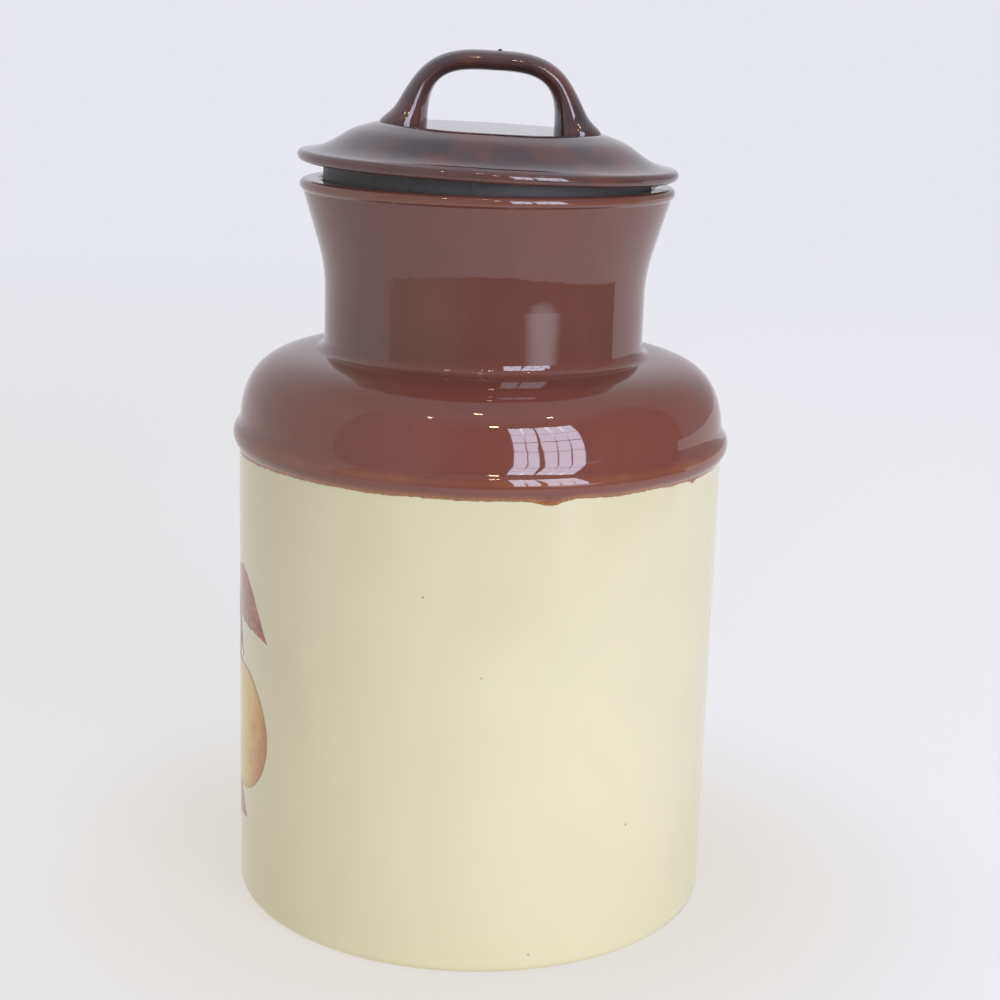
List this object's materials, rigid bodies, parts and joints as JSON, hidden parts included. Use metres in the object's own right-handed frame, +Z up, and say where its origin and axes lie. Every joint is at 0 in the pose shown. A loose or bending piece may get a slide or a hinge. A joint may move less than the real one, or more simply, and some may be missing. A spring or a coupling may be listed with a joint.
{
  "type": "ceramic canister",
  "caption": "Straight-sided glazed stoneware canister with a beaded round shoulder, flared neck, black seal ring and a domed lid with a loop handle",
  "frame": {"origin": "middle of the base, on the jar's axis", "axes": "+Z up along the jar's axis, +X along the lid's handle towards the low side of the tilted lid, -Y towards the viewer of the handle's broad side"},
  "size_m": [0.1538, 0.1538, 0.2644],
  "materials": {
    "cream_glaze": "gloss glaze over stoneware: cream on the body, brown on the shoulder, neck and lip",
    "brown_glaze": "gloss red-brown glaze",
    "seal_rubber": "smooth, slightly shiny"
  },
  "bodies": {
    "root": {"jar": "cream_glaze", "lid": "brown_glaze", "seal_ring": "seal_rubber"}
  },
  "joints": []
}
